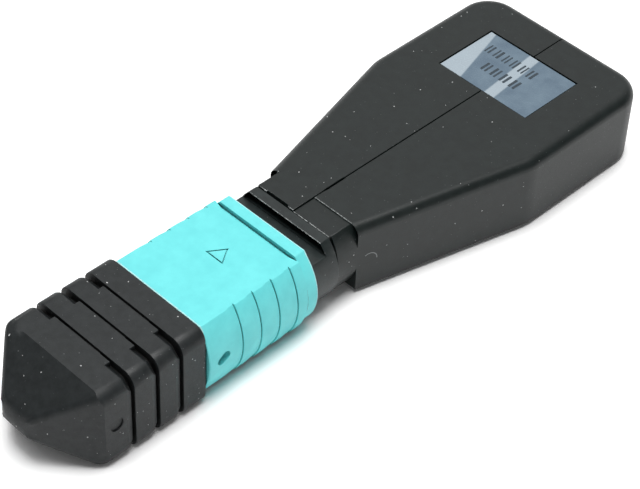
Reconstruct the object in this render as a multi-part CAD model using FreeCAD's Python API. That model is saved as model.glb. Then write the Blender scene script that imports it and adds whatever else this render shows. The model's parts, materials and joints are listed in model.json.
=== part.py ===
import FreeCAD, Part
import math
import os

os.makedirs("parts", exist_ok=True)
V = FreeCAD.Vector

# ------------------------------------------------------------------
# 24-fibre push-pull loopback plug. Millimetres, X across, Y along the
# plug (nose at -Y), Z up. Stations along Y are counted from the step
# on the coupling sleeve and shifted to the middle at export.
# ------------------------------------------------------------------
AXIS_Z = 4.10          # plug axis above the surface it lies on
FIT = 0.05             # running clearance per side between moving pieces
SNUG = 0.03            # clearance per side between fixed pieces
SEAT = 0.01            # gap where one piece rests on another's stop
OVER = 1.0             # how far a cutting tool overshoots the face it opens
ROOT = 0.3             # how far an added feature is rooted in its piece

# coupling sleeve
SLV_TOP_HW = 5.00      # half width of the flat top
SLV_HW = 6.20          # half width over the barrel sides
SLV_HH = 3.75          # half height
SLV_FRONT = -10.80
SLV_REAR = 1.20
SLV_FRONT_EDGE = 0.08
BAND_RISE = 0.22       # rear band stands proud of the flat top
BAND_TOP_HW = 4.45
BAND_SHOULDER = 4.85   # half width where its top meets the barrel side
BAND_DROP = 0.30
BAND_EDGE = 0.12
BAND_GROOVE = 0.26     # groove in front of the band
BAND_SINK = 0.30
BAND_FADE = 3.90       # groove narrows from here to the edge of the top
SLV_TRAVEL = 1.50
RIB_PITCH = 2.03
RIB_FIRST = -7.13
RIB_COUNT = 4
RIB_DEPTH = 0.09
RIB_SLIT_W = 0.08      # fine slit at the foot of each rib
RIB_SLIT_D = 0.10
RIB_RAMP = 1.15
RIB_SWEEP = 90.0       # degrees of barrel side that the rib tool turns through
POCKET_REAR = -8.00    # latch pockets either side of the nose
POCKET_HW = 5.60
POCKET_HH = 1.50
CHAN_FRONT = -7.20     # spring channels
CHAN_X = 5.10
CHAN_R = 0.62
VENT_Y = -9.29         # slanted slotted hole in the side
VENT_Z = 0.10
VENT_L = 1.40
VENT_W = 0.90
VENT_TILT = 30.0
ARROW_BASE = -4.72     # arrow engraved in outline
ARROW_TIP = -3.12
ARROW_HW = 1.05
MARK_W = 0.13
MARK_DEPTH = 0.16

# inner housing
HSG_HW = 4.70
HSG_HH = 3.00
HSG_R = 0.75
HSG_NOSE = -19.40
HSG_REAR = 0.90
KEY_HW = 1.50
KEY_H = 0.50
KEY_FRONT = -17.60
KEY_REAR = -12.40
CAV_HW = 3.60
CAV_HH = 2.20
LUG_FRONT = -8.00
LUG_REAR = -7.00
LUG_HW = 1.40
LUG_H = 0.30
LUG_RAMP = 0.7         # share of a snap lug's length that is ramp
EAR_FRONT = -0.20
EAR_R = 0.55
WIN_HW = 1.20          # snap windows for the rear body
WIN_FRONT = -2.20
WIN_REAR = -0.80
HSG_EDGE = 0.25
NOTCH_FRONT = -14.60   # adapter latch notches in the sides
NOTCH_REAR = -9.20
NOTCH_DEPTH = 0.55

# ferrule group
FER_HW = 3.20
FER_HH = 1.25
FER_LEN = 8.00
FER_PROUD = 0.40       # ferrule face ahead of the housing nose
FLG_HW = 3.50
FLG_HH = 1.50
FLG_LEN = 3.00
PIN_X = 2.30           # guide holes 4.6 mm apart
PIN_R = 0.35
PIN_REACH = 1.10       # guide holes run on into the keeper
FER_EDGE = 0.15
GLUE_HW = 1.70         # glue window in the top of the ferrule
GLUE_FRONT = 2.60
GLUE_LEN = 2.00
GLUE_FLOOR = 0.55
BOOT_HW = 1.78
BOOT_HH = 0.82
BOOT_IN = 1.50
BOOT_LEN = 4.80
BOOT_SLOT = 0.05
KEEP_T = 1.55
KEEP_HW = 3.30
KEEP_HH = 1.90
SPIGOT_HW = 2.20       # spigot that centres the main spring
SPIGOT_HH = 1.15
SPIGOT_R = 0.80
SPIGOT_L = 0.50

# fibres
FIB_R = 0.12
FIB_PITCH = 0.25
ROW_GAP = 0.50
LOOPS = 6
LOOP_R = 7.85          # largest loop
LOOP_STEP = 0.60
LOOP_BEND = 8.00
LOOP_Y = 28.20
BEND_STEPS = 4         # flats in each bend of a fibre and in its loop
HEAD_STEPS = 10

# springs
MAIN_WIRE = 0.20
MAIN_A = 3.05          # the main spring is wound oval
MAIN_B = 1.88
MAIN_TURNS = 5
MAIN_STEPS = 12        # flats per turn
SIDE_WIRE = 0.10
SIDE_R = 0.42
SIDE_TURNS = 9
SIDE_STEPS = 8

# rear body
PUSH_FRONT = -2.40
NECK_FRONT = 0.95      # cheeks level with the collar's sides
NECK_HH = 2.30
COL_FRONT = 3.12
COL_T = 1.00
COL_TOP_HW = 4.25
COL_HW = 5.60
COL_HH = 3.28
NECK_R = 0.80
BARB_GRIP = 0.05
TAIL_HW = 3.00
TAIL_HH = 2.20
TAIL_FLANGE = 8.50
TAIL_END = 9.30
TAIL_STEP = 0.60
TAIL_R = 0.40
BORE_HW = 2.00
BORE_HH = 1.00
BORE_R = 0.50

# loop housing
PAD_FRONT = 6.60
PAD_END = 38.95
PAD_FRONT_HW = 5.25
PAD_HW = 9.65
PAD_BEND = 23.60
PAD_BEND_R = 5.0
PAD_CORNER = 3.10
PAD_H = 7.50
PAD_EDGE = 1.00        # rounding of the upper edge
PAD_FOOT = 0.45        # chamfer of the lower edge
PAD_WALL = 1.15
CAV_TOP = 1.05
NECK_START = 4.17
PADNECK_HW = 5.38
PADNECK_TOP = 3.26     # top of the neck above the axis
GAP_W = 0.16           # gap seen behind the collar, on top and at the sides
GAP_TOP_IN = 0.68
GAP_TOP_OUT = 3.24
GAP_SIDE_X = 4.20
GAP_SIDE_W = 0.22
GAP_SIDE_LOW = -0.90
SEAM_HW = 0.04
SEAM_DEPTH = 0.28
PRY_FRONT = 7.90
PRY_REAR = 10.20
PRY_HW = 0.09
PRY_DEPTH = 0.60
BOSS_Y = 12.20
BOSS_Z = 2.30
BOSS_HW = 1.80
BOSS_HL = 1.20
PEG_R = 0.55
PEG_L = 1.20
PEG_FIT = 0.02
POST_HW = 2.20
POST_HL = 1.80
POST_PEG_R = 0.85

# label
LBL_HW = 5.05
LBL_FRONT = 27.45
LBL_REAR = 34.30
LBL_T = 0.12
LBL_SINK = 0.20
LBL_GAP = 0.12

# dust cap
CAP_HW = 5.90
CAP_HH = AXIS_Z
CAP_R = 1.20
CAP_GAP = 0.11         # cap stops short of the sleeve
CAP_REAR = SLV_FRONT - CAP_GAP
CAP_FRONT = -21.31
CAP_EDGE = 0.12
CAP_FIT = 0.08         # grip clearance per side on the nose
CAP_IN_FRONT = -20.35
NOSE_LEN = 4.40
NOSE_TIP_HW = 1.35
NOSE_TIP_HH = 0.88
NOSE_EDGE = 0.80
TIP_EDGE = 0.45
TIP_FLARE_HW = 2.4
TIP_FLARE_HH = 2.0
RINGS = (-13.33, -15.78, -18.28)
RING_RAMP = 0.78       # saw-tooth grooves, each a ramp up to a wall
RING_SIDE = 0.26
RING_TOP = 0.78
RING_R = 1.50
SLIT_W = 0.20          # narrow slit at the foot of each wall
SLIT_SIDE = 0.55
FILL_HW = 3.30         # top and bottom are filled flush up to the slit
BRIDGE_HW = 1.95       # slit is shallower over the key's channel
BRIDGE_DROP = 0.28
DIMPLE_R = 0.62
DIMPLE_DEPTH = 0.14
DIMPLE_Y = -20.15
DIMPLE_Z = 0.25

Y_SHIFT = -(PAD_END + CAP_FRONT - NOSE_LEN) / 2.0
X_AX = V(1, 0, 0)
Y_AX = V(0, 1, 0)
Z_AX = V(0, 0, 1)


# ---------------- helpers ----------------
def box(x0, x1, y0, y1, z0, z1):
    """Box between two X and Y stations; Z is counted from the plug axis."""
    return Part.makeBox(x1 - x0, y1 - y0, z1 - z0, V(x0, y0, AXIS_Z + z0))


def cyl(axis, at, r, h):
    return Part.makeCylinder(r, h, at, axis)


def rrect(y, hw, hh, r):
    """Rounded rectangle about the plug axis, in the plane Y = y."""
    k = r * (1 - math.sqrt(0.5))
    p = lambda x, z: V(x, y, AXIS_Z + z)
    e = [
        Part.makeLine(p(-hw + r, hh), p(hw - r, hh)),
        Part.Arc(p(hw - r, hh), p(hw - k, hh - k), p(hw, hh - r)).toShape(),
        Part.makeLine(p(hw, hh - r), p(hw, -hh + r)),
        Part.Arc(p(hw, -hh + r), p(hw - k, -hh + k), p(hw - r, -hh)).toShape(),
        Part.makeLine(p(hw - r, -hh), p(-hw + r, -hh)),
        Part.Arc(p(-hw + r, -hh), p(-hw + k, -hh + k), p(-hw, -hh + r)).toShape(),
        Part.makeLine(p(-hw, -hh + r), p(-hw, hh - r)),
        Part.Arc(p(-hw, hh - r), p(-hw + k, hh - k), p(-hw + r, hh)).toShape(),
    ]
    return Part.Wire(e)


def barrel(y, top_hw, hw, hh, top=None):
    """Flat top and bottom with sides bulging out as single arcs."""
    t = hh if top is None else top
    p = lambda x, z: V(x, y, AXIS_Z + z)
    e = [
        Part.makeLine(p(-top_hw, t), p(top_hw, t)),
        Part.Arc(p(top_hw, t), p(hw, 0), p(top_hw, -hh)).toShape(),
        Part.makeLine(p(top_hw, -hh), p(-top_hw, -hh)),
        Part.Arc(p(-top_hw, -hh), p(-hw, 0), p(-top_hw, t)).toShape(),
    ]
    return Part.Wire(e)


def prism(wire, length):
    return Part.Face(wire).extrude(V(0, length, 0))


def rr_prism(y0, y1, hw, hh, r):
    return prism(rrect(y0, hw, hh, r), y1 - y0)


def rect(hw, hh):
    return [(-hw, -hh), (hw, -hh), (hw, hh), (-hw, hh)]


def octagon(hw, hh, r):
    """Rectangle whose corners are cut on the tangent of a radius r."""
    c = r * (2 - math.sqrt(2))
    return [(-hw + c, -hh), (hw - c, -hh), (hw, -hh + c), (hw, hh - c),
            (hw - c, hh), (-hw + c, hh), (-hw, hh - c), (-hw, -hh + c)]


def taper(y0, ring0, y1, ring1):
    """Flat-sided solid between two outlines about the plug axis."""
    a = [V(x, y0, AXIS_Z + z) for x, z in ring0]
    b = [V(x, y1, AXIS_Z + z) for x, z in ring1]
    faces = [Part.Face(Part.makePolygon(q + [q[0]])) for q in (a, b)]
    for i in range(len(a)):
        j = (i + 1) % len(a)
        faces.append(Part.Face(Part.makePolygon([a[i], a[j], b[j], b[i], a[i]])))
    solid = Part.Solid(Part.Shell(faces))
    if solid.Volume < 0:
        solid.reverse()
    return solid


def fuse(parts):
    s = parts[0].fuse(parts[1:]) if len(parts) > 1 else parts[0]
    return s.removeSplitter()


def cut(base, tools):
    return base.cut(tools).removeSplitter()


def both(f):
    """A tool and its mirror across the X = 0 plane."""
    return [f, f.mirror(V(0, 0, 0), X_AX)]


def up_down(f):
    """A tool and its mirror across the plug axis plane."""
    return [f, f.mirror(V(0, 0, AXIS_Z), Z_AX)]


def wedge(hw, y_low, y_high, z_low, z_high):
    """Snap lug or barb: ramp rising along Y, steep face at the far end."""
    p = lambda y, z: V(-hw, y, AXIS_Z + z)
    w = Part.makePolygon([
        p(y_low, z_low), p(y_high, z_low), p(y_high, z_high),
        p(y_low + LUG_RAMP * (y_high - y_low), z_high), p(y_low, z_low)])
    return Part.Face(w).extrude(V(2 * hw, 0, 0))


def edges_at(shape, test):
    return [e for e in shape.Edges if test(e)]


def chamfer(shape, size, test):
    return shape.makeChamfer(size, edges_at(shape, test))


def fillet(shape, r, test):
    return shape.makeFillet(r, edges_at(shape, test))


def on_plane_y(e, y):
    b = e.BoundBox
    return abs(b.YMin - y) < 1e-4 and abs(b.YMax - y) < 1e-4


# ---------------- dust cap ----------------
def ring_groove(y_wall):
    """Saw-tooth groove: a ramp running up to a wall that faces the nose."""
    y0 = y_wall - RING_RAMP
    y1 = y_wall - SLIT_W
    slab = rr_prism(y0, y_wall, CAP_HW + OVER, CAP_HH + OVER, CAP_R)
    hw, hh = CAP_HW - RING_SIDE, CAP_HH - RING_TOP
    core = taper(y0, octagon(CAP_HW, CAP_HH, CAP_R), y_wall, octagon(hw, hh, RING_R))
    core = core.common(rr_prism(y0, y_wall, CAP_HW, CAP_HH, CAP_R))
    g = slab.cut(core)
    slit = rr_prism(y1, y_wall, CAP_HW + OVER, CAP_HH + OVER, CAP_R)
    slit = slit.cut(rr_prism(y1, y_wall, CAP_HW - SLIT_SIDE, hh, CAP_R))
    bridge = CAP_HH - BRIDGE_DROP
    keep = up_down(box(-FILL_HW, FILL_HW, y0 - ROOT, y1, 0, CAP_HH))
    keep += up_down(box(-BRIDGE_HW, BRIDGE_HW, y0 - ROOT, y_wall + ROOT, 0, bridge))
    return g.fuse(slit).cut(keep)


def dust_cap():
    body = rr_prism(CAP_FRONT, CAP_REAR, CAP_HW, CAP_HH, CAP_R)
    tip = CAP_FRONT - NOSE_LEN
    nose = taper(tip, rect(NOSE_TIP_HW, NOSE_TIP_HH), CAP_FRONT, rect(CAP_HW, CAP_HH))
    nose = fillet(nose, NOSE_EDGE, lambda e: e.BoundBox.YLength > 1)
    hw, hh = NOSE_TIP_HW - TIP_EDGE, NOSE_TIP_HH - TIP_EDGE
    blunt = taper(tip, rect(hw, hh), CAP_FRONT,
                  rect(hw + TIP_FLARE_HW * NOSE_LEN, hh + TIP_FLARE_HH * NOSE_LEN))
    nose = nose.common(blunt)
    nose = nose.common(rr_prism(tip, CAP_FRONT, CAP_HW, CAP_HH, CAP_R))
    body = chamfer(body, CAP_EDGE, lambda e: on_plane_y(e, CAP_REAR))
    s = fuse([body, nose])
    tools = [ring_groove(y) for y in RINGS]
    c = CAP_FIT
    tools.append(rr_prism(CAP_IN_FRONT, CAP_REAR + OVER, HSG_HW + c, HSG_HH + c, HSG_R))
    tools.append(box(-KEY_HW - c, KEY_HW + c, KEY_FRONT - ROOT, CAP_REAR + OVER,
                     0, HSG_HH + KEY_H + c))
    tools.append(cyl(X_AX, V(CAP_HW - DIMPLE_DEPTH, DIMPLE_Y, AXIS_Z + DIMPLE_Z),
                     DIMPLE_R, OVER))
    return cut(s, tools)


# ---------------- coupling sleeve ----------------
def rib_cut(y_wall):
    """Groove that follows the barrel side, cut as a turned ring."""
    b = SLV_HW - SLV_TOP_HW
    R = (b * b + SLV_HH ** 2) / (2 * b)
    cx = SLV_HW - R
    foot = SLV_HW - RIB_DEPTH
    pts = [V(foot, y_wall - RIB_SLIT_W, AXIS_Z),
           V(foot - RIB_SLIT_D, y_wall - RIB_SLIT_W, AXIS_Z),
           V(foot - RIB_SLIT_D, y_wall, AXIS_Z),
           V(SLV_HW + OVER, y_wall, AXIS_Z),
           V(SLV_HW + OVER, y_wall - RIB_RAMP, AXIS_Z),
           V(SLV_HW, y_wall - RIB_RAMP, AXIS_Z)]
    f = Part.Face(Part.makePolygon(pts + [pts[0]]))
    f.rotate(V(cx, 0, AXIS_Z), Y_AX, -RIB_SWEEP / 2)
    return f.revolve(V(cx, 0, AXIS_Z), Y_AX, RIB_SWEEP)


def band_outline():
    """Rear band: raised flat top falling away to softer shoulders."""
    top, low = SLV_HH + BAND_RISE, SLV_HH - BAND_DROP
    p = lambda x, z: V(x, 0, AXIS_Z + z)
    a, b = BAND_TOP_HW, BAND_SHOULDER
    line = Part.makePolygon([p(-b, low), p(-a, top), p(a, top), p(b, low)])
    foot = Part.makePolygon([p(b, -low), p(a, -SLV_HH), p(-a, -SLV_HH), p(-b, -low)])
    right = Part.Arc(p(b, low), p(SLV_HW, 0), p(b, -low)).toShape()
    left = Part.Arc(p(-b, -low), p(-SLV_HW, 0), p(-b, low)).toShape()
    return Part.Wire(line.Edges + [right] + foot.Edges + [left])


def cheek_room(grow, y0, y1):
    """Barrel-sided cheeks of the rear body, or the room they need."""
    b = prism(barrel(y0, COL_TOP_HW + grow, COL_HW + grow, COL_HH + grow), y1 - y0)
    return b.common(box(-SLV_HW, SLV_HW, y0, y1, -NECK_HH - grow, NECK_HH + grow))


def arrow_mark():
    """Outline of a triangle, cut into the flat top."""
    z = AXIS_Z + SLV_HH - MARK_DEPTH
    slant = math.hypot(ARROW_HW, ARROW_TIP - ARROW_BASE)
    shrink = MARK_W * (slant + ARROW_HW) / (ARROW_TIP - ARROW_BASE)
    reach = MARK_W * slant / ARROW_HW

    def tri(hw, base, point):
        w = [V(-hw, base, z), V(hw, base, z), V(0, point, z)]
        return Part.Face(Part.makePolygon(w + [w[0]])).extrude(V(0, 0, OVER))

    return tri(ARROW_HW, ARROW_BASE, ARROW_TIP).cut(
        tri(ARROW_HW - shrink, ARROW_BASE + MARK_W, ARROW_TIP - reach))


def coupling_sleeve():
    main = prism(barrel(SLV_FRONT, SLV_TOP_HW, SLV_HW, SLV_HH), -SLV_FRONT)
    band = prism(band_outline(), SLV_REAR)
    main = chamfer(main, SLV_FRONT_EDGE, lambda e: on_plane_y(e, SLV_FRONT))
    band = chamfer(band, BAND_EDGE, lambda e: on_plane_y(e, SLV_REAR))
    s = fuse([main, band])
    tools = [rr_prism(SLV_FRONT - OVER, SLV_REAR + OVER, HSG_HW + FIT, HSG_HH + FIT,
                      HSG_R - FIT)]
    tools += both(box(HSG_HW - ROOT, POCKET_HW, SLV_FRONT - OVER, POCKET_REAR,
                      -POCKET_HH, POCKET_HH))
    tools += both(cyl(Y_AX, V(CHAN_X, CHAN_FRONT, AXIS_Z), CHAN_R, SLV_REAR - SLV_FRONT))
    tools.append(cheek_room(CAP_FIT, NECK_FRONT - SLV_TRAVEL - SNUG, SLV_REAR + OVER))
    tools += up_down(box(-LUG_HW - FIT, LUG_HW + FIT, LUG_FRONT - SLV_TRAVEL - FIT,
                         LUG_REAR + SEAT, HSG_HH - ROOT, HSG_HH + LUG_H + FIT))
    for i in range(RIB_COUNT):
        tools += both(rib_cut(RIB_FIRST + i * RIB_PITCH))
    r = VENT_W / 2
    x0 = POCKET_HW - ROOT
    y0, y1 = VENT_Y - VENT_L / 2 + r, VENT_Y + VENT_L / 2 - r
    z = AXIS_Z + VENT_Z
    vent = fuse([cyl(X_AX, V(x0, y0, z), r, OVER), cyl(X_AX, V(x0, y1, z), r, OVER),
                 box(x0, x0 + OVER, y0, y1, VENT_Z - r, VENT_Z + r)])
    vent.rotate(V(x0, VENT_Y, z), X_AX, VENT_TILT)
    tools += both(vent)
    p = lambda x, y: V(x, y, AXIS_Z + SLV_HH - BAND_SINK)
    w = Part.makePolygon([p(-SLV_TOP_HW, 0), p(-BAND_FADE, -BAND_GROOVE),
                          p(BAND_FADE, -BAND_GROOVE), p(SLV_TOP_HW, 0),
                          p(-SLV_TOP_HW, 0)])
    tools.append(Part.Face(w).extrude(V(0, 0, OVER)))
    tools.append(arrow_mark())
    return cut(s, tools)


# ---------------- inner housing ----------------
def inner_housing():
    s = rr_prism(HSG_NOSE, HSG_REAR, HSG_HW, HSG_HH, HSG_R)
    s = chamfer(s, HSG_EDGE, lambda e: on_plane_y(e, HSG_NOSE))
    add = [s, box(-KEY_HW, KEY_HW, KEY_FRONT, KEY_REAR, HSG_HH - ROOT, HSG_HH + KEY_H)]
    add += up_down(wedge(LUG_HW, LUG_FRONT, LUG_REAR, HSG_HH - ROOT, HSG_HH + LUG_H))
    add += both(cyl(Y_AX, V(CHAN_X, EAR_FRONT, AXIS_Z), EAR_R, HSG_REAR - EAR_FRONT))
    s = fuse(add)
    seat = HSG_NOSE - FER_PROUD + FER_LEN - FLG_LEN - SEAT
    hw, hh = FER_HW + FIT, FER_HH + FIT
    tools = [box(-hw, hw, HSG_NOSE - OVER, seat + OVER, -hh, hh),
             box(-CAV_HW, CAV_HW, seat, HSG_REAR + OVER, -CAV_HH, CAV_HH)]
    tools += both(box(HSG_HW - NOTCH_DEPTH, HSG_HW + OVER, NOTCH_FRONT, NOTCH_REAR,
                      -POCKET_HH, POCKET_HH))
    tools += both(cyl(Y_AX, V(CHAN_X, CHAN_FRONT - FIT, AXIS_Z), CHAN_R,
                      EAR_FRONT - CHAN_FRONT + FIT))
    tools += up_down(box(-WIN_HW, WIN_HW, WIN_FRONT, WIN_REAR, CAV_HH - ROOT, HSG_HH + OVER))
    return cut(s, tools)


# ---------------- ferrule group ----------------
FER_FACE = HSG_NOSE - FER_PROUD
FER_BACK = FER_FACE + FER_LEN


def mt_ferrule():
    s = fuse([box(-FER_HW, FER_HW, FER_FACE, FER_BACK, -FER_HH, FER_HH),
              box(-FLG_HW, FLG_HW, FER_BACK - FLG_LEN, FER_BACK, -FLG_HH, FLG_HH)])
    s = chamfer(s, FER_EDGE, lambda e: on_plane_y(e, FER_FACE))
    tools = both(cyl(Y_AX, V(PIN_X, FER_FACE - OVER, AXIS_Z), PIN_R, FER_LEN + 2 * OVER))
    glue = FER_FACE + GLUE_FRONT
    tools.append(box(-GLUE_HW, GLUE_HW, glue, glue + GLUE_LEN, GLUE_FLOOR, FER_HH + OVER))
    hw, hh = BOOT_HW + SEAT, BOOT_HH + SEAT
    tools.append(box(-hw, hw, FER_BACK - BOOT_IN, FER_BACK + OVER, -hh, hh))
    return cut(s, tools)


def ferrule_boot():
    y0 = FER_BACK - BOOT_IN
    y1 = y0 + BOOT_LEN
    s = box(-BOOT_HW, BOOT_HW, y0, y1, -BOOT_HH, BOOT_HH)
    hw = (LOOPS - 0.5) * FIB_PITCH + FIB_R + BOOT_SLOT
    hh = ROW_GAP / 2 + FIB_R + BOOT_SLOT
    return cut(s, [box(-hw, hw, y0 - OVER, y1 + OVER, -hh, hh)])


def pin_keeper():
    y0, y1 = FER_BACK, FER_BACK + KEEP_T
    s = fuse([box(-KEEP_HW, KEEP_HW, y0, y1, -KEEP_HH, KEEP_HH),
              rr_prism(y1, y1 + SPIGOT_L, SPIGOT_HW, SPIGOT_HH, SPIGOT_R)])
    hw, hh = BOOT_HW + SNUG, BOOT_HH + SNUG
    tools = [box(-hw, hw, y0 - OVER, y1 + OVER, -hh, hh)]
    tools += both(cyl(Y_AX, V(PIN_X, y0 - OVER, AXIS_Z), PIN_R + SEAT, OVER + PIN_REACH))
    return cut(s, tools)


def arc_points(cx, cy, r, a0, a1, steps):
    """Stations along an arc, both ends included."""
    return [(cx + r * math.cos(a0 + (a1 - a0) * i / steps),
             cy + r * math.sin(a0 + (a1 - a0) * i / steps)) for i in range(steps + 1)]


def fibre_loop(row, k):
    """One fibre out of position k, round the housing and back to its twin."""
    z = AXIS_Z + row * ROW_GAP / 2 - FIB_R
    x = (LOOPS - 0.5 - k) * FIB_PITCH
    r = LOOP_R - k * LOOP_STEP
    reach = LOOP_BEND + r
    turn = math.acos((x + LOOP_BEND) / reach)
    ys = LOOP_Y - reach * math.sin(turn)
    y0 = FER_BACK - BOOT_IN

    def side(off):
        """Right-hand half of a loop, its centre line moved out by off."""
        bend = arc_points(x + LOOP_BEND, ys, LOOP_BEND - off, math.pi, math.pi - turn, BEND_STEPS)
        head = arc_points(0, LOOP_Y, r + off, -turn, math.pi / 2, HEAD_STEPS)
        return [(x + off, y0)] + bend + head[1:]

    def whole(off):
        half = side(off)
        return half + [(-px, py) for px, py in reversed(half[:-1])]

    ring = whole(FIB_R) + list(reversed(whole(-FIB_R)))
    pts = [V(px, py, z) for px, py in ring]
    return Part.Face(Part.makePolygon(pts + [pts[0]])).extrude(V(0, 0, 2 * FIB_R))


# ---------------- springs ----------------
def coil(cx, y0, y1, a, b, wire, turns, steps):
    """Open coil along Y between two seats, round or oval, in flat facets."""
    ya, yb = y0 + wire, y1 - wire
    pts = []
    for i in range(turns * steps + 1):
        t = 2 * math.pi * i / steps
        pts.append(V(cx + a * math.cos(t), ya + (yb - ya) * i / (turns * steps),
                     AXIS_Z + b * math.sin(t)))
    path = Part.makePolygon(pts)
    way = (pts[1] - pts[0]).normalize()
    u = way.cross(X_AX).normalize()
    w = way.cross(u)
    corners = [pts[0] + (u * math.cos(q) + w * math.sin(q)) * wire
               for q in (math.pi / 2 * k for k in range(4))]
    prof = Part.makePolygon(corners + [corners[0]])
    return path.makePipeShell([prof], True, False, 1)


def main_spring():
    return coil(0, FER_BACK + KEEP_T + SNUG, PUSH_FRONT - SNUG, MAIN_A, MAIN_B,
                MAIN_WIRE, MAIN_TURNS, MAIN_STEPS)


def coupling_spring(side):
    return coil(side * CHAN_X, CHAN_FRONT + SNUG, EAR_FRONT - SNUG, SIDE_R, SIDE_R,
                SIDE_WIRE, SIDE_TURNS, SIDE_STEPS)


# ---------------- rear body ----------------
def spring_push():
    hw, hh = CAV_HW - SNUG, CAV_HH - SNUG
    wide, high = TAIL_HW + TAIL_STEP, TAIL_HH + TAIL_STEP
    parts = [box(-hw, hw, PUSH_FRONT, NECK_FRONT + ROOT, -hh, hh),
             rr_prism(NECK_FRONT, COL_FRONT + ROOT, COL_TOP_HW, NECK_HH, NECK_R),
             cheek_room(0, NECK_FRONT, COL_FRONT + ROOT),
             prism(barrel(COL_FRONT, COL_TOP_HW, COL_HW, COL_HH), COL_T),
             rr_prism(COL_FRONT, TAIL_END, TAIL_HW, TAIL_HH, TAIL_R),
             rr_prism(TAIL_FLANGE, TAIL_END, wide, high, TAIL_R)]
    parts += up_down(wedge(WIN_HW - FIT, WIN_FRONT + BARB_GRIP, WIN_REAR - SEAT,
                           CAV_HH - ROOT, HSG_HH - BARB_GRIP))
    s = fuse(parts)
    return cut(s, [rr_prism(PUSH_FRONT - OVER, TAIL_END + OVER, BORE_HW, BORE_HH, BORE_R)])


# ---------------- loop housing ----------------
def outline(inset, y0, y1, corner):
    """Plan outline of the loop housing, set in from the outside."""
    slope = (PAD_HW - PAD_FRONT_HW) / (PAD_BEND - PAD_FRONT)
    k = inset * math.sqrt(1 + slope * slope)
    w = PAD_HW - inset
    at = lambda y: PAD_FRONT_HW + slope * (y - PAD_FRONT) - k
    yb = PAD_FRONT + (w + k - PAD_FRONT_HW) / slope
    P = lambda x, y: V(x, y, 0)
    half = [P(at(y0), y0), P(w, yb), P(w, y1), P(-w, y1), P(-w, yb), P(-at(y0), y0)]
    s = Part.Face(Part.makePolygon(half + [half[0]])).extrude(V(0, 0, 1))
    vert = lambda e, x, y: (abs(abs(e.BoundBox.XMin) - x) < 1e-4
                            and abs(e.BoundBox.YMin - y) < 1e-4
                            and e.BoundBox.ZLength > 0.9)
    s = s.makeFillet(corner, [e for e in s.Edges if vert(e, w, y1)])
    s = s.makeFillet(PAD_BEND_R, [e for e in s.Edges if vert(e, w, yb)])
    low = [f for f in s.Faces if f.BoundBox.ZMax < 1e-6][0]
    return low.OuterWire


def pad_solid(inset, y0, y1, z0, z1, corner):
    w = outline(inset, y0, y1, corner)
    w.translate(V(0, 0, z0))
    return Part.Face(w).extrude(V(0, 0, z1 - z0))


def housing_blank():
    top = PAD_H - AXIS_Z
    pad = pad_solid(0, PAD_FRONT, PAD_END, 0, PAD_H, PAD_CORNER)
    flat = lambda e: e.BoundBox.ZLength < 1e-5
    pad = fillet(pad, PAD_EDGE, lambda e: (flat(e) and e.BoundBox.ZMin > AXIS_Z
                                           and not on_plane_y(e, PAD_FRONT)))
    pad = chamfer(pad, PAD_FOOT, lambda e: flat(e) and e.BoundBox.ZMax < AXIS_Z)
    neck = prism(barrel(NECK_START, COL_TOP_HW, PADNECK_HW, COL_HH, PADNECK_TOP),
                 PAD_FRONT - NECK_START + PAD_WALL)
    s = fuse([pad, neck])
    g = SNUG
    wide, high = TAIL_HW + TAIL_STEP + g, TAIL_HH + TAIL_STEP + g
    tools = [
        pad_solid(PAD_WALL, TAIL_END + ROOT, PAD_END - PAD_WALL, CAV_TOP, PAD_H - CAV_TOP,
                  PAD_CORNER - PAD_WALL),
        rr_prism(NECK_START - OVER, TAIL_END + OVER, TAIL_HW + g, TAIL_HH + g, TAIL_R),
        rr_prism(TAIL_FLANGE - g, TAIL_END + OVER, wide, high, TAIL_R),
        box(-LBL_HW - LBL_GAP, LBL_HW + LBL_GAP, LBL_FRONT - LBL_GAP,
            LBL_REAR + LBL_GAP, top - LBL_SINK, top + OVER),
        box(-PRY_HW, PRY_HW, PRY_FRONT, PRY_REAR, top - PRY_DEPTH, top + OVER)]
    p = lambda y, z: V(GAP_SIDE_X, y, AXIS_Z + z)
    w = Part.makePolygon([p(NECK_START, GAP_SIDE_LOW), p(NECK_START + GAP_SIDE_W, COL_HH),
                          p(NECK_START - OVER, COL_HH), p(NECK_START, GAP_SIDE_LOW)])
    tools += both(Part.Face(w).extrude(V(PADNECK_HW, 0, 0)))
    s = cut(s, tools)
    # bosses and centre post carry the joining pegs
    gap = AXIS_Z - CAV_TOP
    posts = up_down(box(-BOSS_HW, BOSS_HW, BOSS_Y - BOSS_HL, BOSS_Y + BOSS_HL,
                        BOSS_Z - BOSS_HL, gap + ROOT))
    posts.append(box(-POST_HW, POST_HW, LOOP_Y - POST_HL, LOOP_Y + POST_HL,
                     -gap - ROOT, top - CAV_TOP + ROOT))
    s = fuse([s] + posts)
    # shallow groove along the seam
    ring = box(-SEAM_HW, SEAM_HW, NECK_START - OVER, PAD_END + OVER, -AXIS_Z - OVER,
               top + OVER)
    core = box(-OVER, OVER, NECK_START - 2 * OVER, PAD_END - SEAM_DEPTH,
               -AXIS_Z + SEAM_DEPTH, top - SEAM_DEPTH)
    return cut(s, [ring.cut(core)])


def pegs(grow, length):
    """Joining pegs, from inside the right half across the seam."""
    r = PEG_R + grow
    out = [cyl(X_AX, V(-length, BOSS_Y, AXIS_Z + k * BOSS_Z), r, length + ROOT)
           for k in (-1, 1)]
    out.append(cyl(X_AX, V(-length, LOOP_Y, AXIS_Z), POST_PEG_R + grow, length + ROOT))
    return out


def half_space(side):
    b = box(0, PAD_HW + OVER, NECK_START - OVER, PAD_END + OVER, -AXIS_Z - OVER,
            PAD_H - AXIS_Z + OVER)
    return b if side > 0 else b.mirror(V(0, 0, 0), X_AX)


def loop_housing_right():
    s = housing_blank().common(half_space(1))
    return fuse([s] + pegs(0, PEG_L))


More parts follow.
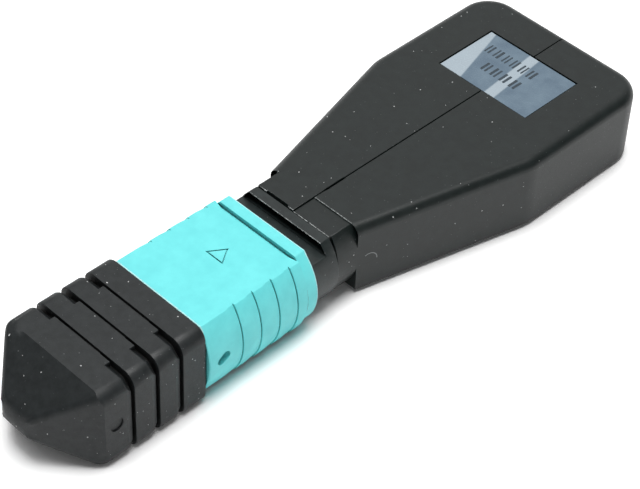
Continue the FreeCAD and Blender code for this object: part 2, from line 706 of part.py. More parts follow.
def loop_housing_left():
    s = housing_blank().common(half_space(-1))
    top = PAD_H - AXIS_Z
    raised = box(-COL_TOP_HW, -SEAM_HW, NECK_START, PAD_FRONT + ROOT, top - PAD_WALL, top)
    s = fuse([s, raised])
    gap = box(-GAP_TOP_OUT, -GAP_TOP_IN, NECK_START - OVER, NECK_START + GAP_W,
              PADNECK_TOP - ROOT, top + OVER)
    return cut(s, [gap] + pegs(PEG_FIT, PEG_L + SNUG))


def label():
    z1 = PAD_H - AXIS_Z - LBL_SINK
    return box(-LBL_HW, LBL_HW, LBL_FRONT, LBL_REAR, z1, z1 + LBL_T)


# ---------------- export ----------------
def export(name, shape):
    if shape.ShapeType != "Solid" and len(shape.Solids) == 1:
        shape = shape.Solids[0]
    shape.translate(V(0, Y_SHIFT, 0))
    shape.exportStep("parts/%s.step" % name)
    b = shape.BoundBox
    print("%-22s valid %s solids %d vol %8.2f  x %.2f %.2f  y %.2f %.2f  z %.2f %.2f" % (
        name, shape.isValid(), len(shape.Solids), shape.Volume,
        b.XMin, b.XMax, b.YMin, b.YMax, b.ZMin, b.ZMax))


export("dust_cap", dust_cap())
export("coupling_sleeve", coupling_sleeve())
export("inner_housing", inner_housing())
export("mt_ferrule", mt_ferrule())
export("ferrule_boot", ferrule_boot())
export("pin_keeper", pin_keeper())
export("main_spring", main_spring())
export("coupling_spring_left", coupling_spring(-1))
export("coupling_spring_right", coupling_spring(1))
export("spring_push", spring_push())
export("loop_housing_left", loop_housing_left())
export("loop_housing_right", loop_housing_right())
export("label", label())
for k in range(LOOPS):
    export("fibre_loop_upper_%d" % (k + 1), fibre_loop(1, k))
    export("fibre_loop_lower_%d" % (k + 1), fibre_loop(-1, k))
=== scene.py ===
import json
import math
import random

import bmesh
import bpy
from mathutils import Matrix, Vector

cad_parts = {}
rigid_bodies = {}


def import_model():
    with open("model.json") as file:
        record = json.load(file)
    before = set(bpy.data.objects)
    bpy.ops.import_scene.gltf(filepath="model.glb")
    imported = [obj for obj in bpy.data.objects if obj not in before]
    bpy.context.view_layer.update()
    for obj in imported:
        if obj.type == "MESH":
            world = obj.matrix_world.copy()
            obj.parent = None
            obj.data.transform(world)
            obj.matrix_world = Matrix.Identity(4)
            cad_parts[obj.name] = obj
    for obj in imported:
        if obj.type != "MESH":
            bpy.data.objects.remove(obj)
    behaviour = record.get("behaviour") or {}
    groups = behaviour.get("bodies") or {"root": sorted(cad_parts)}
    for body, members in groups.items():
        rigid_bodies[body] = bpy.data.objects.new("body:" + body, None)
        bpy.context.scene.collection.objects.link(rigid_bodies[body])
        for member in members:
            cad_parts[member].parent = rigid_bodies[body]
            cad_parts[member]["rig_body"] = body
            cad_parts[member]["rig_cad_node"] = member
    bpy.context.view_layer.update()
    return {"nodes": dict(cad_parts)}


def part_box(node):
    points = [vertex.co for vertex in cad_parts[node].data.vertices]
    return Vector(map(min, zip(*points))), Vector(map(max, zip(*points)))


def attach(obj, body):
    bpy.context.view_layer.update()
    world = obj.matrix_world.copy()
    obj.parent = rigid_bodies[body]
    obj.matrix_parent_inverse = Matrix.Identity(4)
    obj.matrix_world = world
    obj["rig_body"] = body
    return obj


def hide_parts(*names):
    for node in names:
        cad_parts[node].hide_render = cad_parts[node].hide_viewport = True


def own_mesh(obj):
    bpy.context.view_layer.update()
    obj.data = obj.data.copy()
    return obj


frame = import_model()

# Sizes are in millimetres unless the comment beside them says otherwise.
MM = 0.001

# ---------------- corners and shading ----------------
WELD = 0.002                   # corners closer than this are one corner
FLAT = math.radians(0.6)       # facets that turn less than this are one face
SHARP = math.radians(35)       # edges that turn more than this stay sharp
WIRE_SHARP = math.radians(50)  # the same for spring wire, which has few flats round it
CORNER_STEPS = 2               # strips in a rounded corner
ON = 0.02                      # what is this close to a plane lies on it
BY = 0.1                       # what is this close to a plane lies by it
SLOT_LEAN = 0.005              # how far a sunk slot's walls lean in
FACING = 0.9                   # a face whose normal has this much of an axis faces along it

# ---------------- dust cap ----------------
CAP_CORNER = 0.065             # radius of its rounded corners
NOSE_LENGTH = 4.40             # tapered part
NOSE_END = 1.2                 # its squares reach this far back past the tapered part
NOSE_HOLD = 0.1                # the last of the squares stays still
NOSE_SQUARES = (0.59, 0.36, 0.51)    # their sides along x, y and z
RIBS_START = 1.3               # ribs with rounded edges start this far behind the tapered part
RIM_WIDTH = 1.6                # part of the nose's rim ahead of the tapered part's end
FAR_SIDE = -3.6                # x of the rim's well rounded far side
UNDERSIDE = 1.9                # z of its well rounded lower side
POINT_LENGTH = 1.3             # the point is well rounded this far back
RIDGES_END = 0.3               # the ridges are soft up to this far from the rim
SMOOTH_RIM = 5                 # rounds of smoothing
SMOOTH_POINT = 3
SMOOTH_RIDGES = 3

# ---------------- coupling sleeve ----------------
SLEEVE_CORNER = 0.06           # radius of its rounded corners
SLEEVE_FLAT = 5.00             # half width of its flat top
SHOULDER_REACH = 0.06          # corners this close to the flat top's edge are its shoulders
REAR_BAND = 1.6                # length of the band at its rear
FRONT_RIM = 0.15               # corners this close to its front end are the front rim's
REAR_RIM = 0.2                 # and this close to its rear end, the rear rim's
RIM_TOP = 0.5                  # the front rim's pale painted highlight reaches only this far down from its top

# ---------------- rear body ----------------
PUSH_CORNER = 0.07             # radius of its rounded corners
COLLAR_CORNER = 0.05           # and of the collar's front edge, pale with wear and painted highlight
COLLAR_LENGTH = 1.05           # collar ahead of the loop housing
COLLAR_HEIGHT = 1.0            # its front wall, down from its top
COLLAR_LIP = 0.07              # rim left round the slot in that wall
COLLAR_SLOT = 0.6              # how deep the slot goes
SLOT_FOOT = 0.99               # lowest corners of the slot, down from the top
SLOT_BACK = 0.7                # corners this far behind the wall are still the slot's

# ---------------- loop housing ----------------
HOUSING_CORNER = 0.06          # radius of its rounded corners
NECK_LENGTH = 2.43             # loop housing ahead of its step
SHELF_DEPTH = 0.6              # front edges down to this depth are the pale ones, with wear and painted highlight
STEP_ON = 0.03                 # faces this close to the step lie on it
GAP_FOOT = 4.6                 # z of the gap's foot beside the neck
GAP_SIDE = 4.4                 # distance of the gap from the middle
GAP_LIP = 0.03                 # rim left round the gap
GAP_DEPTH = 0.5                # how deep it goes
GAP_EDGE = 4.35                # corners further out than this are the gap's
GAP_BACK = 0.6                 # and so are those up to this far behind the step
SCUFF_AT = (5.45, 1.2, 3.4)    # centre of the ring that the pale scuff is part of
SCUFF_RADIUS = 0.75
SCUFF_WIDTH = 0.09
SCUFF_SIDE = (0, 0.5, 0.86)    # direction of the scuff from that centre
SCUFF_START = 0.4              # share of the radius at which it begins
SCUFF_STRENGTH = 0.55

# ---------------- springs: node, piece, the joint that closes it, and by how much ----------------
SPRINGS = (("main_spring", "wound_main_spring", "ferrule_float", 0.6),
           ("coupling_spring_left", "wound_spring_left", "sleeve_pull", 1.5),
           ("coupling_spring_right", "wound_spring_right", "sleeve_pull", 1.5))

# ---------------- glass fibres in the ferrule ----------------
GLASS_R = 0.0625               # glass with its cladding
CORE_R = 0.025
GLASS_SIDES = 20
GLASS_SUNK = 0.04              # length of the end that is modelled
GLASS_PROUD = 0.004            # how far it stands out of the ferrule
GLASS_DOME = 0.002             # and how far its core stands out of it
FIBRE_PITCH = 0.25
FIBRES_A_ROW = 12
ROW_HALF = 0.25                # rows lie this far above and below the middle
FIBRE_COLOURS = (("blue", "#1C5CA8", "#2A6CBC"), ("orange", "#D0661C", "#E07A2C"),
                 ("green", "#1F7A45", "#2C8C54"), ("brown", "#5A3A24", "#6B4830"),
                 ("slate", "#5F666D", "#70777E"), ("white", "#D8D8D4", "#E6E6E2"))

# ---------------- label ----------------
LABEL_SEAM_REFLECTION = (0.093, (0.25, 1.35))      # painted reflections, pale streaks on the film: lean, and where they start and end in x
LABEL_END_REFLECTION = (0.277, (-9.0, -2.6))
LABEL_SOFT = 0.10              # how soft their edges are
LABEL_REFLECTION_STRENGTH = 0.66             # how strong the painted reflections are
INK_ROWS = ((-2.25, 2.1, 2.75), (-3.7, 1.9, 4.90))   # from, to, distance from the front edge
INK_WIDTHS = (0.16, 0.2, 0.26)
INK_HEIGHT = 1.2
INK_GAP = 0.2                  # between the two strokes of a pair
INK_SPACE = 0.42               # between pairs
INK_CORNER = 0.06
INK_THICK = 0.012
INK_SUNK = 0.002               # the strokes start this far inside the film
INK_SEED = 5

# ---------------- dust ----------------
DUST_RAG = 0.12                # size of the waves that make the specks ragged
DUST_SHIFT = 0.09              # how far they shift a speck's edge
OPENNESS_RAYS = 8              # rays that test how open a corner is, for the painted shade and the floor's glow

# ---------------- stage and light ----------------
FLOOR_SIZE = 3                 # metres
FLOOR_WHITE = 0.96             # what light and reflections meet
SHADOW_REACH = 3               # the floor's glow fades within this far of the plug, a painted shadow on the floor
SHADOW_EDGE = (0.47, 0.65)     # how open the floor is where its glow starts and where it is full
FLOOR_GLOW = 0.34              # how bright it is then
TENT = ((0.0, 0.95), (0.12, 0.45), (0.30, 0.25), (0.60, 0.42), (1.0, 0.60))    # height and level
TENT_BRIGHT_SIDE = (-0.69, 0.72, 0)
TENT_STEEP = 4.0               # how fast it darkens away from that side
TENT_LEVELS = (0.10, 2.5)      # darkest and brightest side
# name, direction, distance and width in metres, power in watts
SOFTBOXES = (("overhead softbox", (0.0, -0.02, 1), 0.45, 0.25, 1.80),
             ("side card", (0.9, -0.4, 0.33), 0.45, 0.45, 0.38))

# ---------------- camera: metres and degrees ----------------
VIEW_AIM = (0.0011, -0.0002, 0.0029)
VIEW_AZIMUTH = 43.55
VIEW_ELEVATION = 43.64
VIEW_ROLL = 2.71
VIEW_DISTANCE = 0.180
VIEW_NEAREST = 0.01
FOCAL_LENGTH = 119.74          # millimetres, and so is the sensor
SENSOR_WIDTH = 36


def place_camera():
    """Looks at the plug from the nose side, with +X to the right."""
    az, el, roll = (math.radians(a) for a in (VIEW_AZIMUTH, VIEW_ELEVATION, VIEW_ROLL))
    back = Vector((math.sin(az) * math.cos(el), -math.cos(az) * math.cos(el), math.sin(el)))
    right = Vector((math.cos(az), math.sin(az), 0))
    up = back.cross(right)
    turned_right = right * math.cos(roll) + up * math.sin(roll)
    turned_up = up * math.cos(roll) - right * math.sin(roll)
    data = bpy.data.cameras.new("view")
    data.sensor_width = SENSOR_WIDTH
    data.lens = FOCAL_LENGTH
    data.clip_start = VIEW_NEAREST
    camera = bpy.data.objects.new("view", data)
    spot = Vector(VIEW_AIM) + back * VIEW_DISTANCE
    camera.matrix_world = Matrix((
        (turned_right.x, turned_up.x, back.x, spot.x),
        (turned_right.y, turned_up.y, back.y, spot.y),
        (turned_right.z, turned_up.z, back.z, spot.z),
        (0, 0, 0, 1)))
    bpy.context.scene.collection.objects.link(camera)
    bpy.context.scene.camera = camera


# ---------------- materials ----------------
def linear(hex_code):
    """sRGB hex to the linear colour that a shader takes."""
    parts = [int(hex_code[i:i + 2], 16) / 255 for i in (1, 3, 5)]
    return [c / 12.92 if c <= 0.04045 else ((c + 0.055) / 1.055) ** 2.4 for c in parts] + [1]


def add_node(tree, kind, links=(), sockets=None, **settings):
    """Adds a node. Settings are sockets by name, or else the node's own.

    sockets holds values for sockets by number or by name, and links are (source, socket).
    """
    node = tree.nodes.new(kind)
    for name, value in settings.items():
        socket = name.replace("_", " ")
        if socket in node.inputs:
            node.inputs[socket].default_value = value
        else:
            setattr(node, name, value)
    for socket, value in (sockets or {}).items():
        node.inputs[socket].default_value = value
    for source, target in links:
        tree.links.new(source, node.inputs[target])
    return node


def new_material(name):
    material = bpy.data.materials.new(name)
    material.use_nodes = True
    tree = material.node_tree
    tree.nodes.clear()
    return material, tree, add_node(tree, "ShaderNodeOutputMaterial")


def moulded(name, dark, pale, mottle_mm, gloss, grain_mm, grain_depth_mm, ior):
    """Plastic or rubber as it leaves a mould: cloudy colour, uneven gloss and a fine skin.

    gloss is the roughness at the shiniest and the dullest spots. The grain of such skins is 0.01 to
    0.05 mm. It is drawn a few times as coarse, so that it shows.
    """
    material, tree, out = new_material(name)
    place = add_node(tree, "ShaderNodeTexCoord").outputs["Object"]
    cloud = add_node(tree, "ShaderNodeTexNoise", Scale=1 / (mottle_mm * MM), Detail=4.0,
                     Roughness=0.6, links=[(place, "Vector")])
    spread = add_node(tree, "ShaderNodeMapRange", From_Min=0.35, From_Max=0.65,
                      links=[(cloud.outputs["Fac"], "Value")])
    colour = add_node(tree, "ShaderNodeMix", data_type="RGBA",
                      sockets={"A": linear(dark), "B": linear(pale)},
                      links=[(spread.outputs["Result"], "Factor")])
    skin = add_node(tree, "ShaderNodeTexNoise", Scale=1 / (grain_mm * MM), Detail=2.0,
                    links=[(place, "Vector")])
    dull = add_node(tree, "ShaderNodeMapRange", From_Min=0.3, From_Max=0.7, To_Min=gloss[0],
                    To_Max=gloss[1], links=[(skin.outputs["Fac"], "Value")])
    relief = add_node(tree, "ShaderNodeBump", Strength=1.0, Distance=grain_depth_mm * MM,
                      links=[(skin.outputs["Fac"], "Height")])
    shader = add_node(tree, "ShaderNodeBsdfPrincipled", IOR=ior,
                      links=[(colour.outputs["Result"], "Base Color"),
                             (dull.outputs["Result"], "Roughness"),
                             (relief.outputs["Normal"], "Normal")])
    tree.links.new(shader.outputs["BSDF"], out.inputs["Surface"])
    return material, tree, shader, place


def overlay(tree, shader, mask, hex_code):
    """Lays another colour over the shader's own where mask is 1."""
    under = shader.inputs["Base Color"].links[0].from_socket
    top = add_node(tree, "ShaderNodeMix", data_type="RGBA", sockets={"B": linear(hex_code)},
                   links=[(mask, "Factor"), (under, "A")])
    tree.links.new(top.outputs["Result"], shader.inputs["Base Color"])


def dust(tree, shader, place, spacing_mm, size_mm, share, hex_code="#C9CBCB"):
    """Specks of dust and mould flash: small ragged dots, at random, on a share of the spots."""
    ragged = add_node(tree, "ShaderNodeTexNoise", Scale=1 / (DUST_RAG * MM), Detail=1.0,
                      links=[(place, "Vector")])
    shove = add_node(tree, "ShaderNodeVectorMath", operation="MULTIPLY_ADD",
                     sockets={1: (DUST_SHIFT * MM,) * 3},
                     links=[(ragged.outputs["Color"], 0), (place, 2)])
    cells = add_node(tree, "ShaderNodeTexVoronoi", Scale=1 / (spacing_mm * MM),
                     links=[(shove.outputs[0], "Vector")])
    luck = add_node(tree, "ShaderNodeSeparateColor", links=[(cells.outputs["Color"], "Color")])
    size = add_node(tree, "ShaderNodeMapRange", From_Min=1 - share, From_Max=1.0,
                    To_Min=0.0, To_Max=size_mm / spacing_mm, links=[(luck.outputs[0], "Value")])
    dot = add_node(tree, "ShaderNodeMath", operation="LESS_THAN",
                   links=[(cells.outputs["Distance"], 0), (size.outputs["Result"], 1)])
    overlay(tree, shader, dot.outputs[0], hex_code)


def crease_shade(tree, shader, reach_mm, hex_code, open_at=0.72, shut_at=0.40):
    """Painted shade: darkens the colour in tight inside corners, by how closed in they are, which
    outlines ribs and engraved lines.
    """
    shut = add_node(tree, "ShaderNodeAmbientOcclusion", samples=OPENNESS_RAYS,
                    Distance=reach_mm * MM)
    depth = add_node(tree, "ShaderNodeMapRange", From_Min=open_at, From_Max=shut_at,
                     links=[(shut.outputs["AO"], "Value")])
    overlay(tree, shader, depth.outputs["Result"], hex_code)


def pale_arc(tree, shader, place, hex_code):
    """A thin curved scuff: the part of a ring that lies on one side of its centre."""
    middle = Vector(SCUFF_AT) * MM
    reach = add_node(tree, "ShaderNodeVectorMath", operation="DISTANCE", sockets={1: middle},
                     links=[(place, 0)])
    ring = add_node(tree, "ShaderNodeMath", operation="COMPARE",
                    sockets={1: SCUFF_RADIUS * MM, 2: SCUFF_WIDTH * MM / 2},
                    links=[(reach.outputs["Value"], 0)])
    along = add_node(tree, "ShaderNodeVectorMath", operation="DOT_PRODUCT",
                     sockets={1: SCUFF_SIDE}, links=[(place, 0)])
    start = middle.dot(Vector(SCUFF_SIDE)) + SCUFF_START * SCUFF_RADIUS * MM
    half = add_node(tree, "ShaderNodeMath", operation="GREATER_THAN", sockets={1: start},
                    links=[(along.outputs["Value"], 0)])
    mask = add_node(tree, "ShaderNodeMath", operation="MULTIPLY",
                    links=[(ring.outputs[0], 0), (half.outputs[0], 1)])
    faint = add_node(tree, "ShaderNodeMath", operation="MULTIPLY", sockets={1: SCUFF_STRENGTH},
                     links=[(mask.outputs[0], 0)])
    overlay(tree, shader, faint.outputs[0], hex_code)


def housing_abs():
    """ABS moulded in a spark-eroded cavity: black with a green cast, and an even fine matt."""
    # the real grain is about 0.03 mm; it is drawn at 0.09 mm so that it shows
    material, tree, shader, place = moulded(
        "spark-eroded matt ABS", "#0D1615", "#151E1D", mottle_mm=0.9, gloss=(0.33, 0.46),
        grain_mm=0.09, grain_depth_mm=0.003, ior=1.54)
    dust(tree, shader, place, spacing_mm=0.36, size_mm=0.048, share=0.6, hex_code="#4C5252")
    dust(tree, shader, place, spacing_mm=0.60, size_mm=0.062, share=0.5)
    pale_arc(tree, shader, place, "#A8ACAC")
    return material


def neck_abs():
    """The rear body's ABS comes from a smoother mould than the loop housing's, so it is shinier."""
    material, tree, shader, place = moulded(
        "satin moulded ABS", "#1C2323", "#262E2E", mottle_mm=0.8, gloss=(0.30, 0.44),
        grain_mm=0.12, grain_depth_mm=0.0025, ior=1.54)
    dust(tree, shader, place, spacing_mm=0.34, size_mm=0.048, share=0.6, hex_code="#4C5252")
    dust(tree, shader, place, spacing_mm=0.5, size_mm=0.06, share=0.55)
    # painted shade: near black in tight inside corners, as on the deck before the collar's front
    # wall
    crease_shade(tree, shader, 0.9, "#060808")
    return material


def cap_elastomer():
    """Moulded soft elastomer: greyer than ABS, nearly matt, and it holds dust."""
    material, tree, shader, place = moulded(
        "moulded elastomer", "#1C2021", "#262A2B", mottle_mm=0.7, gloss=(0.42, 0.55),
        grain_mm=0.11, grain_depth_mm=0.004, ior=1.46)
    dust(tree, shader, place, spacing_mm=0.36, size_mm=0.05, share=0.6, hex_code="#565A5B")
    dust(tree, shader, place, spacing_mm=0.55, size_mm=0.065, share=0.5)
    # painted shade: near black in the grooves and other tight inside corners
    crease_shade(tree, shader, 0.6, "#060707")
    return material


def sleeve_pbt():
    """PBT moulded in aqua: satin and evenly coloured, slightly cloudy where the melt flowed."""
    material, tree, shader, place = moulded(
        "moulded aqua PBT", "#6EE6E9", "#77EFF1", mottle_mm=1.6, gloss=(0.38, 0.5),
        grain_mm=0.14, grain_depth_mm=0.003, ior=1.52)
    # painted shade: thin dark lines beside the ribs and in the arrow, then the dark inside of the
    # vent
    crease_shade(tree, shader, 0.08, "#35A6A9")
    crease_shade(tree, shader, 1.2, "#0B3F42", open_at=0.38, shut_at=0.20)
    return material


def worn_and_highlit_corner(name, ior, dark, pale, gloss):
    """A pale moulded corner, in patches: painted highlight, and on the black shells also wear from
    handling.
    """
    # the pale patches run a few tenths of a millimetre along the corner
    return moulded(name, dark, pale, mottle_mm=0.28, gloss=gloss, grain_mm=0.1,
                   grain_depth_mm=0.003, ior=ior)[0]


def label_film():
    """Silver polyester film, laminated: glossy and bluish, with two pale streaks of painted
    reflection, one over the seam.
    """
    material, tree, shader, place = moulded(
        "silver polyester film", "#5D7284", "#6E8393", mottle_mm=1.8, gloss=(0.20, 0.30),
        grain_mm=0.2, grain_depth_mm=0.0008, ior=1.6)
    low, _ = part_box("label")
    # painted reflection: each pass lays one pale streak into the film's colour
    for lean, edges in (LABEL_SEAM_REFLECTION, LABEL_END_REFLECTION):
        lie = add_node(tree, "ShaderNodeVectorMath", operation="DOT_PRODUCT",
                       sockets={1: (1, lean, 0)}, links=[(place, 0)])
        masks = []
        for edge in edges:
            spot = edge * MM + lean * low.y
            masks.append(add_node(tree, "ShaderNodeMapRange", interpolation_type="SMOOTHSTEP",
                                  From_Min=spot - LABEL_SOFT * MM, From_Max=spot + LABEL_SOFT * MM,
                                  links=[(lie.outputs["Value"], "Value")]).outputs["Result"])
        band = add_node(tree, "ShaderNodeMath", operation="SUBTRACT",
                        links=[(masks[0], 0), (masks[1], 1)])
        painted_reflection = add_node(tree, "ShaderNodeMath", operation="MULTIPLY", sockets={1: LABEL_REFLECTION_STRENGTH},
                          links=[(band.outputs[0], 0)])
        overlay(tree, shader, painted_reflection.outputs[0], "#C3D0D8")
    return material


def label_ink():
    """Screen-printed ink: dark slate, a little duller than the film it lies on."""
    return moulded("screen-printed ink", "#2E3B45", "#3B4852", mottle_mm=0.3, gloss=(0.3, 0.45),
                   grain_mm=0.05, grain_depth_mm=0.0005, ior=1.5)[0]


def housing_pbt():
    """PBT from a smooth mould: near black, with a satin shine."""
    return moulded("satin moulded PBT", "#17191A", "#222425", mottle_mm=0.8, gloss=(0.32, 0.45),
                   grain_mm=0.12, grain_depth_mm=0.0025, ior=1.57)[0]


def glass_filled_pps():
    """PPS moulded with glass: brown-black, hard and dense, its end ground and polished flat."""
    material, tree, shader, place = moulded(
        "glass-filled PPS", "#2C2925", "#3A3631", mottle_mm=0.35, gloss=(0.26, 0.40),
        grain_mm=0.05, grain_depth_mm=0.0012, ior=1.65)
    # the pale specks are ends of the glass strands that fill it
    dust(tree, shader, place, spacing_mm=0.2, size_mm=0.03, share=0.5, hex_code="#6D6860")
    return material


def boot_rubber():
    """Moulded rubber: black and dull, with hardly a highlight."""
    return moulded("moulded rubber", "#191919", "#242424", mottle_mm=0.5, gloss=(0.6, 0.75),
                   grain_mm=0.08, grain_depth_mm=0.004, ior=1.52)[0]


def keeper_nylon():
    """Nylon moulded without pigment: warm ivory with a soft shine."""
    return moulded("natural moulded nylon", "#C9C3B2", "#D8D3C4", mottle_mm=0.9,
                   gloss=(0.35, 0.48), grain_mm=0.12, grain_depth_mm=0.002, ior=1.53)[0]


def fibre_coating(tint, dark, pale):
    """Acrylate cured on the glass: one of the fibre colours, smooth and glossy."""
    return moulded("acrylate fibre coating, " + tint, dark, pale, mottle_mm=0.6,
                   gloss=(0.22, 0.34), grain_mm=0.06, grain_depth_mm=0.0008, ior=1.5)[0]


def fibre_glass():
    """Silica fibre, polished: pale, hard and bright."""
    return moulded("polished silica fibre", "#B9C4C8", "#D2DADC", mottle_mm=0.03,
                   gloss=(0.05, 0.12), grain_mm=0.03, grain_depth_mm=0.0001, ior=1.46)[0]


def spring_wire():
    """Drawn stainless spring wire: bright, with fine lines left by the die."""
    material, tree, out = new_material("drawn stainless wire")
    place = add_node(tree, "ShaderNodeTexCoord").outputs["Object"]
    # the lines are about 0.01 mm wide; they are drawn at 0.06 mm so that they show
    lines = add_node(tree, "ShaderNodeTexNoise", Scale=1 / (0.06 * MM), Detail=3.0,
                     links=[(place, "Vector")])
    tone = add_node(tree, "ShaderNodeMix", data_type="RGBA",
                    sockets={"A": linear("#A9A8A5"), "B": linear("#CDCCC9")},
                    links=[(lines.outputs["Fac"], "Factor")])
    dull = add_node(tree, "ShaderNodeMapRange", To_Min=0.18, To_Max=0.36,
                    links=[(lines.outputs["Fac"], "Value")])
    relief = add_node(tree, "ShaderNodeBump", Distance=0.001 * MM,
                      links=[(lines.outputs["Fac"], "Height")])
    shader = add_node(tree, "ShaderNodeBsdfPrincipled", Metallic=1.0,
                      links=[(tone.outputs["Result"], "Base Color"),
                             (dull.outputs["Result"], "Roughness"),
                             (relief.outputs["Normal"], "Normal")])
    tree.links.new(shader.outputs["BSDF"], out.inputs["Surface"])
    return material


def finish_inner_parts():
    """The pieces whose CAD shape shows as it is: housing, ferrule, boot, keeper, label, fibres."""
    finishes = {"inner_housing": housing_pbt(), "mt_ferrule": glass_filled_pps(),
                "ferrule_boot": boot_rubber(), "pin_keeper": keeper_nylon(), "label": label_film()}
    for number, colours in enumerate(FIBRE_COLOURS, 1):
        coating = fibre_coating(*colours)
        for row in ("upper", "lower"):
            finishes["fibre_loop_%s_%d" % (row, number)] = coating
    for node, material in finishes.items():
        frame["nodes"][node].material_slots[0].material = material


# ---------------- picking corners and faces in edit mode ----------------
def only(piece):
    bpy.ops.object.select_all(action="DESELECT")
    bpy.context.view_layer.objects.active = piece
    piece.select_set(True)


def nothing_picked(piece):
    """The mesh that is being edited, with nothing selected in it."""
    shape = bmesh.from_edit_mesh(piece.data)
    for part in list(shape.verts) + list(shape.edges) + list(shape.faces):
        part.select = False
    return shape


def pick_faces(piece, wanted):
    """Selects the faces whose middle is wanted."""
    shape = nothing_picked(piece)
    for face in shape.faces:
        if wanted(face.calc_center_median()):
            face.select_set(True)
    bmesh.update_edit_mesh(piece.data)


def drop_picks(piece):
    nothing_picked(piece)
    bmesh.update_edit_mesh(piece.data)


def round_corners(piece, radius_mm, worn_and_highlit, wanted):
    """Bevels the outward corners whose middle is wanted; with the flag set, they get the pale
    corner finish of painted highlight and wear.
    """
    shape = nothing_picked(piece)
    for edge in shape.edges:
        if edge.is_manifold and edge.is_convex and edge.calc_face_angle(0) > SHARP:
            edge.select = wanted((edge.verts[0].co + edge.verts[1].co) / 2)
    bmesh.update_edit_mesh(piece.data)
    bpy.ops.mesh.bevel(offset=radius_mm * MM, segments=CORNER_STEPS, profile=0.5, affect="EDGES",
                       clamp_overlap=False, material=1 if worn_and_highlit else -1)


def recess(piece, wanted, lip_mm, depth_mm):
    """Sinks flat faces into a dark slot behind a thin lip."""
    pick_faces(piece, wanted)
    bpy.ops.mesh.inset(thickness=lip_mm * MM, depth=0)
    bpy.ops.mesh.inset(thickness=SLOT_LEAN * MM, depth=-depth_mm * MM)
    drop_picks(piece)


def soften(piece, rounds, wanted):
    """Smooths the wanted corners, so that what they belong to becomes round."""
    shape = nothing_picked(piece)
    for vert in shape.verts:
        vert.select = wanted(vert.co)
    bmesh.update_edit_mesh(piece.data)
    bpy.ops.mesh.vertices_smooth(factor=0.5, repeat=rounds)


# ---------------- pieces that stand for a CAD node ----------------
def own_copy(node, name, materials):
    """A copy of a CAD node with its own mesh and materials, to shape and to show in its place."""
    source = frame["nodes"][node]
    piece = source.copy()
    piece.data = source.data.copy()
    piece.name = name
    if "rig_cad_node" in piece:
        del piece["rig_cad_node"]
    bpy.context.scene.collection.objects.link(piece)
    piece.data.materials.clear()
    for material in materials:
        piece.data.materials.append(material)
    return piece


def start_merged(piece):
    """Enters edit mode and merges the CAD's loose triangles into one skin."""
    only(piece)
    bpy.ops.object.mode_set(mode="EDIT")
    bpy.ops.mesh.select_all(action="SELECT")
    bpy.ops.mesh.remove_doubles(threshold=WELD * MM)


def smooth_by_angle(piece, angle):
    """Leaves edit mode with every edge that turns more than the angle sharp and the rest smooth."""
    shape = bmesh.from_edit_mesh(piece.data)
    for edge in shape.edges:
        edge.smooth = edge.calc_face_angle(0) <= angle
    bmesh.update_edit_mesh(piece.data)
    bpy.ops.object.mode_set(mode="OBJECT")
    bpy.ops.mesh.customdata_custom_splitnormals_clear()
    bpy.ops.object.shade_smooth(keep_sharp_edges=True)


def stands_for(piece, node):
    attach(piece, frame["nodes"][node]["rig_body"])
    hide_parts(node)


def moulded_shell(node, name, materials, roundings, shaping=None):
    """A merged copy of a CAD shell with the small radii that its mould leaves on its corners.

    materials are its face and, where corners are pale, their finish of painted highlight and wear.
    roundings are (radius, pale or not, which corners). shaping is done first.
    """
    piece = own_copy(node, name, materials)
    start_merged(piece)
    bpy.ops.mesh.dissolve_limited(angle_limit=FLAT)
    if shaping:
        bpy.ops.mesh.select_mode(type="VERT")
        shaping(piece)
    bpy.ops.mesh.select_mode(type="EDGE")
    for radius_mm, worn_and_highlit, wanted in roundings:
        round_corners(piece, radius_mm, worn_and_highlit, wanted)
    smooth_by_angle(piece, SHARP)
    even = piece.modifiers.new("even shading", "WEIGHTED_NORMAL")
    even.keep_sharp = True
    even.weight = 100
    bpy.ops.object.modifier_apply(modifier=even.name)
    stands_for(piece, node)


def soften_nose(piece):
    """Cuts the nose into small squares, then smooths its far and lower rim, point and ridges."""
    low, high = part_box("dust_cap")
    rim = low.y + NOSE_LENGTH * MM
    end = rim + NOSE_END * MM
    for axis, stop in ((1, end), (0, high.x), (2, high.z)):
        across = Vector((axis == 0, axis == 1, axis == 2))
        spot = low[axis] + NOSE_SQUARES[axis] * MM
        while spot < stop:
            pick_faces(piece, lambda at: at.y < end)
            bpy.ops.mesh.bisect(plane_co=across * spot, plane_no=across)
            spot += NOSE_SQUARES[axis] * MM
    soften(piece, SMOOTH_RIM,
           lambda at: (rim - RIM_WIDTH * MM < at.y < end - NOSE_HOLD * MM
                       and (at.x < FAR_SIDE * MM or at.z < UNDERSIDE * MM)))
    soften(piece, SMOOTH_POINT, lambda at: at.y < low.y + POINT_LENGTH * MM)
    soften(piece, SMOOTH_RIDGES, lambda at: at.y < rim - RIDGES_END * MM)
    drop_picks(piece)


def make_cap():
    """The nose is softer than the ribs: its point and its far and lower rims are well rounded."""
    low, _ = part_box("dust_cap")
    moulded_shell("dust_cap", "soft_cap", [cap_elastomer()],
                  [(CAP_CORNER, False,
                    lambda at: at.y > low.y + NOSE_LENGTH * MM + RIBS_START * MM)],
                  soften_nose)


